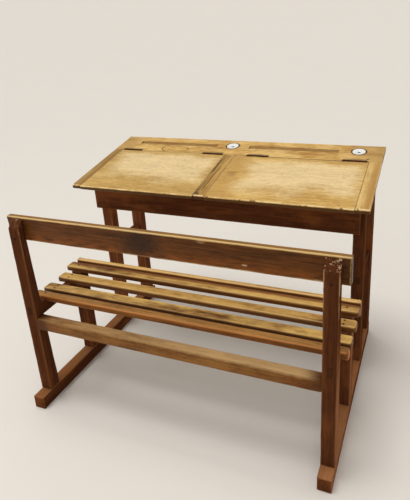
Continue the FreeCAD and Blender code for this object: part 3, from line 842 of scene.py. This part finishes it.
def iron_finish(name):
    """Dark iron with rust in patches and pits."""
    finish, start, shader = blank(name)
    place = on_object(start)
    patches = place.noise((140, 140, 140), 4.0, 0.65)
    pits = place.noise((900, 900, 900), 3.0, 0.6)
    rust = (patches * 0.7 + pits * 0.3).rise(0.46, 0.6)
    plug(rust.blend(setting("iron_dark"), setting("iron_rust")), shader, "Base Color")
    plug(rust * 0.3 + pits * 0.2 + 0.42, shader, "Roughness")
    plug(0.25 - rust * 0.25, shader, "Metallic")
    roughen(shader, pits * 0.6 + patches * 0.6, 0.5, 0.0004)
    shader.inputs["Specular IOR Level"].default_value = 0.12
    return finish


def glaze_finish(name):
    """White glaze with faint crazing and grey smears."""
    finish, start, shader = blank(name)
    place = on_object(start)
    crazing = start.add("ShaderNodeTexVoronoi", {"feature": "DISTANCE_TO_EDGE"}, Vector=place, Scale=420.0)
    lines = crazing.fall(0.0, 0.035) * place.noise((90, 90, 90), 2.0).rise(0.5, 0.62)
    smears = place.noise((120, 120, 120), 3.0).rise(0.52, 0.75)
    white = (smears * 0.35).over(setting("glaze"), (0.8, 0.8, 0.76))
    plug((lines * 0.35).over(white, (0.5, 0.47, 0.42)), shader, "Base Color")
    plug(smears * 0.2 + 0.12, shader, "Roughness")
    roughen(shader, smears, 0.25, 0.0003)
    shader.inputs["Coat Weight"].default_value = 0.5
    return finish


# Pieces


def pins(*numbers):
    """The nodes of some hinges' pins."""
    return ["hinge_%d_pin" % number for number in numbers]


def hinge_rooms(hinges, side):
    """Cutters for the barrels and leaves of hinges in a board; side is 1 for the ink rail, -1 for a lid."""
    rooms = []
    for pin in hinges:
        low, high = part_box(pin)
        near, far = sorted((0.0, side * LEAF_THICKNESS))
        rooms += [rod((low.x - BARREL_ROOM, 0, 0), (high.x + BARREL_ROOM, 0, 0), BARREL_RADIUS),
                  block("pocket", (low.x, near, LEAF_FOOT), (high.x, far, LEAF_HEAD))]
    return rooms


def hinge_spans(hinges, middle):
    """Where hinges begin and end along a board whose middle is given."""
    return [(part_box(pin)[0].x - middle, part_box(pin)[1].x - middle) for pin in hinges]


def middle_of(node):
    """The middle of a node across the desk."""
    low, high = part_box(node)
    return (low.x + high.x) / 2


def post_slope():
    """How far the front faces of the back posts come back with each metre of height."""
    low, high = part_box("back_post_right")
    return (high.y - low.y - POST_LEAN - POST_TOP) / (high.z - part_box("runner_right")[1].z)


def bullnose(piece):
    """Rounds the two long edges at the front of the top."""
    round_edges(piece, 0.005, lambda way, middle: abs(way.x) > 0.99 and middle.y < FRONT + 0.001)


class DESK_OT_top(Operator):
    """Lays the lids and the fixed rails of the sloping top"""
    bl_idname = "desk.top"
    bl_label = "Top and lids"

    def execute(self, context):
        splits = ((-0.13, 0.08, 0.0), (-0.16, -0.02, -0.012), (0.0, 0.15, -0.014))
        rails = {"top_rail_left": rail_finish("left_rail_wood", light=0.74, bare=0.35, rim=-1),
                 "top_rail_right": rail_finish("right_rail_wood", light=1.1, bare=0.9, rim=1),
                 "top_rail_centre": rail_finish("centre_rail_wood", light=1.0, bare=0.55, cracks=splits)}
        for node, finish in rails.items():
            low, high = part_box(node)
            piece = board(node, (low.x, FRONT, -TOP_THICKNESS), (high.x, HINGE_GAP, 0), Y, X, [bullnose],
                          place=ON_TOP, arris=TOP_ARRIS)
            dress(piece, node, finish, "top_wood")
        self.lid("lid_left_board", pins(1, 2), (0.0008, 0.0007), light=0.97, ahead=0.06,
                 marks=((0.03, -0.11, 0.004, 0.5),))
        self.lid("lid_right_board", pins(3, 4), (0.0011, 0.0008), light=1.12, ahead=0.036, strip=0.042,
                 marks=((0.189, -0.137, 0.0045, 0.85), (-0.2, 0.012, 0.026, 0.28)))
        return {"FINISHED"}

    def lid(self, node, hinges, more, **looks):
        """A lid with the rooms of its hinges; more is how far it passes the left and right of its solid."""
        left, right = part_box(node)[0].x - more[0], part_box(node)[1].x + more[1]
        piece = board(node, (left, FRONT - LID_OVERHANG, -TOP_THICKNESS), (right, -HINGE_GAP, 0), X, Y,
                      [bullnose], lambda: hinge_rooms(hinges, -1), ON_TOP, wide=0.03, arris=TOP_ARRIS)
        finish = lid_finish(node + "_wood", hinge_spans(hinges, (left + right) / 2), **looks)
        dress(piece, node, finish, "top_wood")


class DESK_OT_ink_rail(Operator):
    """Lays the rail behind the lids with its pen grooves and well holes"""
    bl_idname = "desk.ink_rail"
    bl_label = "Ink rail"

    def execute(self, context):
        low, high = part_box("ink_rail")
        middle = (low.x + high.x) / 2
        hinges = pins(1, 2, 3, 4)
        holes = [(sum(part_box(node), Vector()) / 2).x for node in WELLS]

        def cut():
            line = (GROOVE_LINE, GROOVE_HEIGHT)
            grooves = [rod((start, *line), (end, *line), GROOVE_RADIUS, 96) for start, end in GROOVES]
            steps = [rod((hole, WELL_LINE, foot), (hole, WELL_LINE, head), radius, 64)
                     for hole in holes for radius, foot, head in WELL_STEPS]
            return grooves + steps + hinge_rooms(hinges, 1)

        piece = board("ink_rail", (low.x, HINGE_GAP, -TOP_THICKNESS),
                      (high.x, HINGE_GAP + INK_RAIL_WIDTH, 0), X, Y, (), cut, ON_TOP, wide=0.03, arris=0.0016)
        wells = [(hole - middle, WELL_LINE - HINGE_GAP - INK_RAIL_WIDTH / 2) for hole in holes]
        finish = ink_rail_finish("ink_rail_wood", hinge_spans(hinges, middle),
                                 rings=((-0.292, -0.034, 0.023),),
                                 knots=((-0.2076, -0.0325, 0.0085), (0.469, -0.045, 0.007)), wells=wells)
        dress(piece, "ink_rail", finish, "top_wood")
        return {"FINISHED"}


class DESK_OT_inkwells(Operator):
    """Turns the two porcelain inkwells"""
    bl_idname = "desk.inkwells"
    bl_label = "Inkwells"

    def execute(self, context):
        glaze = glaze_finish("inkwell_glaze")
        deselect()
        bpy.ops.mesh.primitive_cylinder_add(vertices=64, radius=0.0225, depth=0.009,
                                            location=(0, WELL_LINE, -0.0035))
        pattern = settle(bpy.context.object)
        rim = ((0.0045, 0.0), (0.0098, -0.0028), (0.0032, -0.0008))
        self.shape(pattern, 1, rim, sink=-0.003, flare=3.0, drop=-0.0035, bore=-0.029)
        self.shape(pattern, -1, ((0.004, 0.0),), sink=-0.0325, flare=0.93, drop=-0.0015)
        soften(pattern, 0.0011, 4, 35)
        for node in WELLS:
            only(pattern)
            bpy.ops.object.duplicate()
            piece = bpy.context.object
            piece.name = "glazed_" + node
            middle = sum(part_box(node), Vector()) / 2
            settle(piece, ON_TOP @ Matrix.Translation((middle.x, 0, 0)))
            dress(piece, node, glaze, "porcelain")
        bpy.data.objects.remove(pattern)
        return {"FINISHED"}

    def shape(self, piece, side, rings, sink, flare, drop, bore=None):
        """Insets one end of a turned piece ring by ring, sinks it, widens it and sinks it again."""
        ends = [face for face in piece.data.polygons if face.normal.z * side > 0.9]
        end = max(ends, key=lambda face: face.center.z * side).index
        mark(piece, "FACE", lambda face: face.index == end)
        for width, fall in rings:
            bpy.ops.mesh.inset(thickness=width)
            bpy.ops.transform.translate(value=(0, 0, fall))
        extrude(sink)
        extrude(drop)
        bpy.ops.transform.resize(value=(flare, flare, 1))
        if bore is not None:
            extrude(bore)
        mode("OBJECT")


class DESK_OT_seat(Operator):
    """Lays the slats, the front rail and the round rear rail of the bench"""
    bl_idname = "desk.seat"
    bl_label = "Seat"

    def execute(self, context):
        finishes = {
            "seat_slat_front": seat_finish("front_slat_wood", shelter=0.8),
            "seat_slat_middle": seat_finish("middle_slat_wood", golden=0.72),
            "seat_slat_rear": seat_finish("rear_slat_wood", golden=1.0, rim=0.5, shade=0.8),
            "seat_rear_rail": seat_finish("rear_rail_wood", golden=0.25, rim=0.8, rim_tone=(0.76, 0.5, 0.28),
                                          shade=0.0, turn=0.005),
            "seat_front_rail": seat_finish("front_rail_wood", on_edge=True, rim=0.65, turn=0.005)}
        corners = {"seat_front_rail": 0.003}
        ridges = {"seat_rear_rail": 0.009, "seat_front_rail": 0.008}
        for node, finish in finishes.items():
            piece = self.lay(node, corners.get(node, 0.009), ridges.get(node, 0.005))
            dress(piece, node, finish, "seat_wood")
        return {"FINISHED"}

    def lay(self, node, corner, ridge):
        """A board of the seat with round corners and a round ridge."""
        low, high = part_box(node)

        def ease(piece):
            round_edges(piece, corner, lambda way, middle: abs(way.z) > 0.99 and
                        min(middle.x - low.x, high.x - middle.x) < CLOSE)
            round_edges(piece, ridge, lambda way, middle: middle.z > high.z - CLOSE and
                        self.outline(way, middle, low, high))
            if node == "seat_rear_rail":
                round_edges(piece, 0.007, lambda way, middle: middle.z < low.z + CLOSE and
                            abs(way.x) > 0.99)

        return board(node, low, high, X, Z if node == "seat_front_rail" else Y, [ease],
                     lambda: self.nails(node, low, high), step=0.025, dents=0.8)

    def nails(self, node, low, high):
        """Cutters for the pits of a board's nails."""
        middle = (low + high) / 2
        post = middle_of("back_post_right")
        if node == "seat_front_rail":
            return nail_pits((0, 1, 0), [(side * post, high.y, middle.z) for side in SIDES])
        rows = {"seat_slat_front": [sum(corner.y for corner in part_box("bench_leg_right")) / 2],
                "seat_rear_rail": [middle.y]}.get(node, [low.y + NAIL_INSET, high.y - NAIL_INSET])
        return nail_pits((0, 0, 1), [(side * post, y, high.z) for side in SIDES for y in rows])

    def outline(self, way, middle, low, high):
        """True on the outline of a slat's upper face."""
        side = min(middle.y - low.y, high.y - middle.y) < CLOSE
        end = min(middle.x - low.x, high.x - middle.x) < CLOSE
        return side or end or max(abs(way.x), abs(way.y)) < 0.99


class DESK_OT_backrest(Operator):
    """Fixes the backrest board and the lower back rail"""
    bl_idname = "desk.backrest"
    bl_label = "Backrest"

    def execute(self, context):
        low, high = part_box("backrest_board")
        lean = post_slope() * (high.z - low.z)

        def ease(piece):
            shift_points(piece, lambda point: point.z > high.z - CLOSE, (0, -lean, 0))
            round_edges(piece, 0.005, lambda way, middle: abs(way.x) > 0.99 and middle.z > high.z - CLOSE)

        piece = board("backrest_board", (low.x, low.y + lean, low.z), high, X, Z, [ease], step=0.025,
                      wide=0.03)
        dress(piece, "backrest_board", backrest_finish("backrest_wood"), "frame_wood")
        start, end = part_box("lower_back_rail")
        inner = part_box("back_post_right")[0].x
        piece = board("lower_back_rail", (-inner, start.y, start.z), (inner, end.y, end.z), X, Z,
                      step=0.025, arris=0.003)
        dress(piece, "lower_back_rail", lower_rail_finish("lower_rail_wood"), "seat_wood")
        return {"FINISHED"}


class DESK_OT_frame(Operator):
    """Sets up the runners, posts, legs, stretchers and seat bearers"""
    bl_idname = "desk.frame"
    bl_label = "Frame"

    def execute(self, context):
        dark = frame_finish("frame_wood")
        # The left desk legs get a lighter copy of the frame wood: painted light.
        lit_left_legs = frame_finish("left_leg_lit_wood", light=1.7)
        # The right runner is lighter for its dust and for painted light where the desk shades it; side paints
        # light bounced from the floor on the right runner, the right post and the right bench leg.
        finishes = {"runner_left": frame_finish("left_runner_wood", dust=0.9),
                    "runner_right": frame_finish("right_runner_wood", dust=1.0, light=1.3, side=0.85),
                    "back_post_left": frame_finish("left_post_wood", bare_top=0.35),
                    "back_post_right": frame_finish("right_post_wood", bare_top=0.9, side=0.95),
                    "desk_front_leg_left": lit_left_legs, "desk_back_leg_left": lit_left_legs,
                    "bench_leg_right": frame_finish("right_leg_wood", side=0.9)}
        for side in ("_left", "_right"):
            for make, stem in ((self.runner, "runner"), (self.post, "back_post"), (self.leg, "bench_leg"),
                               (self.leg, "desk_front_leg"), (self.leg, "desk_back_leg"),
                               (self.stretcher, "side_stretcher"), (self.bearer, "seat_bearer")):
                node = stem + side
                dress(make(node, side), node, finishes.get(node, dark), "frame_wood")
        return {"FINISHED"}

    def runner(self, node, side):
        """A runner on the floor."""
        return board(node, *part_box(node), Y, X, step=0.025, arris=0.0025)

    def post(self, node, side):
        """A back post that tapers to a sloping top, with the pit of a screw and the mortise of its bearer."""
        low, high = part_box(node)
        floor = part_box("runner" + side)[1].z
        middle = middle_of(node)

        def taper(piece):
            top = high.z - CLOSE
            shift_points(piece, lambda p: p.z > top and p.y < low.y + 0.001, (0, POST_LEAN, -POST_BEVEL))
            shift_points(piece, lambda p: p.z > top, (0, post_slope() * (floor - high.z), 0))
            cross_cut(piece, Z, POST_CUTS, share=0.9)

        def cut():
            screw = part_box("backrest_board")[0].z + SCREW_RISE
            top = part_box("seat_bearer" + side)[1].z
            start, end = (middle, low.y - PAST, screw), (middle, low.y + SCREW_DEPTH, screw)
            return (rod(start, end, SCREW_RADIUS, 24),
                    self.mortise(middle, low.y - 0.05, high.y + 0.05, top - BEARER_TENON, top))

        return board(node, (low.x, low.y, floor), high, Z, X, [taper], cut, step=None, arris=0.0022,
                     dents=1.3)

    def mortise(self, middle, start, end, low, high):
        """A cutter for the hole of a tenon, with a little room round it."""
        half = TENON_HALF + TENON_ROOM
        return block("mortise", (middle - half, start, low - TENON_ROOM),
                     (middle + half, end, high + TENON_ROOM))

    def tenon(self, node, start, end, top, height):
        """A tenon in the middle of a node."""
        middle = middle_of(node)
        return board(node, (middle - TENON_HALF, start, top - height), (middle + TENON_HALF, end, top),
                     Y, Z, margin=TENON_MARGIN, arris=0.0005, dents=0.2)

    def leg(self, node, side):
        """A leg from its runner up to what it carries, with the mortise of the stretcher in a front leg."""
        low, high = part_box(node)

        def cut():
            if not node.startswith("desk_front"):
                return ()
            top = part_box("side_stretcher" + side)[1].z - STRETCHER_SHOULDER
            return [self.mortise(middle_of(node), low.y - PAST, high.y + PAST, top - STRETCHER_TENON, top)]

        shape = [saw_under_top] if node.startswith("desk") else ()
        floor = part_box("runner" + side)[1].z
        return board(node, (low.x, low.y, floor), high, Z, X, shape, cut, step=0.025, arris=0.0022,
                     dents=1.1)

    def stretcher(self, node, side):
        """A stretcher between the desk legs whose tenon shows on the front leg."""
        low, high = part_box(node)
        start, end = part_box("desk_front_leg" + side)[1].y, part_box("desk_back_leg" + side)[0].y
        piece = board(node, (low.x, start, low.z), (high.x, end, high.z), Y, Z)
        join(piece, self.tenon(node, low.y - 0.0003, start, high.z - STRETCHER_SHOULDER, STRETCHER_TENON))
        return piece

    def bearer(self, node, side):
        """A scooped seat bearer whose tenon shows on the back of its post."""
        low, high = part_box(node)
        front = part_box("bench_leg" + side)[0].y
        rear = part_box("back_post" + side)[1].y - 0.007

        def scoop(piece):
            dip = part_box("seat_slat_middle")[0].z
            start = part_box("seat_rear_rail")[0].y - 0.002
            far = (high.x + PAST, front + PAST, high.z + PAST)
            carve(piece, block("scoop", (low.x - PAST, start, dip), far))

        piece = board(node, (low.x, rear, low.z), (high.x, front, high.z), Y, Z, [scoop], arris=0.0015,
                      dents=0.6)
        join(piece, self.tenon(node, low.y + 0.0004, rear, high.z, BEARER_TENON))
        return piece


class DESK_OT_book_box(Operator):
    """Boards up the apron, the book boxes and the battens of the lids"""
    bl_idname = "desk.book_box"
    bl_label = "Book boxes"

    def execute(self, context):
        dark, bare = frame_finish("apron_wood", light=1.05, streak=1.7), inside_finish("inside_wood")
        for node, along, finish, slot in (
                ("front_apron", X, dark, "frame_wood"), ("box_side_left", Y, dark, "frame_wood"),
                ("box_side_right", Y, dark, "frame_wood"), ("box_back", X, dark, "inside_wood"),
                ("box_divider", Y, bare, "inside_wood")):
            nails = self.apron_nails if node == "front_apron" else None
            piece = board(node, *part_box(node), along, Z, [saw_under_top], nails, step=0.03, wide=0.03,
                          arris=0.0015, dents=0.7)
            dress(piece, node, finish, slot)
        piece = board("box_floor", *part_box("box_floor"), X, Y, [self.notch], step=0.04, arris=0.001,
                      dents=0.3)
        dress(piece, "box_floor", bare, "inside_wood")
        for node in ("lid_left_battens", "lid_right_battens"):
            low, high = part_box(node.replace("battens", "board"))
            pair = [board(node, (middle - BATTEN_HALF, BATTEN_FRONT, BATTEN_FOOT),
                          (middle + BATTEN_HALF, BATTEN_REAR, -TOP_THICKNESS), Y, X, place=ON_TOP,
                          arris=0.002)
                    for middle in (low.x + BATTEN_INSET, high.x - BATTEN_INSET)]
            join(*pair)
            dress(pair[0], node, bare, "inside_wood")
        return {"FINISHED"}

    def apron_nails(self):
        """Cutters for the pits of the nails at both ends of the apron."""
        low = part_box("front_apron")[0]
        out = middle_of("back_post_right") - 0.009
        return nail_pits((0, -1, 0), [(side * out, low.y, low.z + rise)
                                      for side in SIDES for rise in (0.03, 0.09)])

    def notch(self, piece):
        """Cuts the front corners of the floor out round the legs."""
        low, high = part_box("box_floor")
        leg_low, leg_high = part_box("desk_front_leg_right")
        room = 0.0005
        for side in SIDES:
            near, far = sorted((side * (leg_low.x - room), side * (leg_high.x + PAST)))
            carve(piece, block("notch", (near, low.y - PAST, low.z - PAST),
                               (far, leg_high.y + room, high.z + PAST)))


class DESK_OT_ironwork(Operator):
    """Gives the hinges, nails and screws their rusty iron"""
    bl_idname = "desk.ironwork"
    bl_label = "Ironwork"

    def execute(self, context):
        iron = iron_finish("rusty_iron")
        for name, node in frame["nodes"].items():
            if "hinge" in name or "nails" in name or "screws" in name:
                node.data.materials.clear()
                node.data.materials.append(iron)
        return {"FINISHED"}


class DESK_OT_stage(Operator):
    """Lays the floor and sets the light and the camera"""
    bl_idname = "desk.stage"
    bl_label = "Stage"

    def execute(self, context):
        stage = context.scene.desk_stage
        self.floor(stage)
        self.sky(stage)
        self.lamp("key", "SUN", (-0.35, -0.1, 2.6), stage.key, angle=math.radians(36))
        self.lamp("fill", "AREA", (-2.1, -2.2, 1.6), stage.fill, size=2.4)
        self.camera(stage)
        return {"FINISHED"}

    def floor(self, stage):
        """A wide pale floor that rises gently far away on all sides."""
        deselect()
        bpy.ops.mesh.primitive_circle_add(vertices=96, radius=5, fill_type="NOTHING", location=(0, 0, 0))
        floor = bpy.context.object
        floor.name = "floor"
        pick(floor, lambda way, middle: True)
        for widen, rise in ((1.4, 0.06), (1.4, 0.24), (1.4, 0.6), (1.4, 1.2), (3.0, 8.5), (3.0, 30.0)):
            extrude(rise)
            bpy.ops.transform.resize(value=(widen, widen, 1), center_override=(0, 0, 0))
        mode("OBJECT")
        pick(floor, lambda way, middle: middle.z < 0.001)
        bpy.ops.mesh.edge_face_add()
        mode("OBJECT")
        settle(floor)
        bpy.ops.object.shade_smooth()
        finish, start, shader = blank("floor_paint")
        tone = on_object(start).noise((3, 3, 3), 3.0)
        base = paint(stage.floor)
        plug(tone.blend(tinted(base, 0.97), base), shader, "Base Color")
        plug(tone * 0.05 + 0.72, shader, "Roughness")
        floor.data.materials.append(finish)

    def sky(self, stage):
        """A plain pale light from all round."""
        world = bpy.data.worlds.new("studio")
        world.use_nodes = True
        bpy.context.scene.world = world
        sky = world.node_tree.nodes["Background"]
        sky.inputs["Color"].default_value = (1.0, 0.975, 0.94, 1.0)
        sky.inputs["Strength"].default_value = stage.sky

    def lamp(self, name, kind, place, power, **settings):
        """A soft lamp that looks at the middle of the desk."""
        aim = (Vector((0, 0, 0.4)) - Vector(place)).to_track_quat("-Z", "Y").to_euler()
        bpy.ops.object.light_add(type=kind, location=place, rotation=aim)
        lamp = bpy.context.object
        lamp.name = name
        lamp.data.energy = power
        for key, value in settings.items():
            setattr(lamp.data, key, value)

    def camera(self, stage):
        """The camera at the photograph's viewing angle."""
        turn, rise, roll = (math.radians(a) for a in (24.12, 20.52, 3.74))
        ahead = Vector((-math.sin(turn) * math.cos(rise), math.cos(turn) * math.cos(rise), -math.sin(rise)))
        level = ahead.cross(Vector((0, 0, 1))).normalized()
        down = ahead.cross(level)
        right = math.cos(roll) * level + math.sin(roll) * down
        up = right.cross(ahead)
        bpy.ops.object.camera_add(location=(0.6619, -1.4342, 1.2231))
        camera = bpy.context.object
        camera.name = "view"
        facing = Matrix((right, up, -ahead)).transposed().to_4x4()
        camera.matrix_world = Matrix.Translation(camera.location) @ facing
        camera.data.lens = stage.lens
        camera.data.sensor_width = 36
        camera.data.shift_x = -0.013
        camera.data.shift_y = -0.0966
        bpy.context.scene.camera = camera
        bpy.context.scene.view_settings.view_transform = "Standard"


class DESK_PT_sidebar(Panel):
    """The pieces of the desk with their settings"""
    bl_idname = "DESK_PT_sidebar"
    bl_label = "School desk"
    bl_space_type = "VIEW_3D"
    bl_region_type = "UI"
    bl_category = "School desk"

    def draw(self, context):
        for work in STEPS:
            self.layout.operator(work.bl_idname)
        for group in (context.scene.desk_finishes, context.scene.desk_wear, context.scene.desk_stage):
            for key in group.__annotations__:
                self.layout.prop(group, key)


STEPS = (DESK_OT_top, DESK_OT_ink_rail, DESK_OT_inkwells, DESK_OT_seat, DESK_OT_backrest, DESK_OT_frame,
         DESK_OT_book_box, DESK_OT_ironwork, DESK_OT_stage)
SETTINGS = {"desk_finishes": DeskFinishes, "desk_wear": DeskWear, "desk_stage": DeskStage}


def register():
    for part in (*SETTINGS.values(), *STEPS, DESK_PT_sidebar):
        bpy.utils.register_class(part)
    for key, group in SETTINGS.items():
        setattr(bpy.types.Scene, key, PointerProperty(type=group))


def unregister():
    for key in SETTINGS:
        delattr(bpy.types.Scene, key)
    for part in (DESK_PT_sidebar, *reversed(STEPS), *reversed(SETTINGS.values())):
        bpy.utils.unregister_class(part)


def main():
    register()
    for work in STEPS:
        group, name = work.bl_idname.split(".")
        getattr(getattr(bpy.ops, group), name)()


if __name__ == "__main__":
    main()
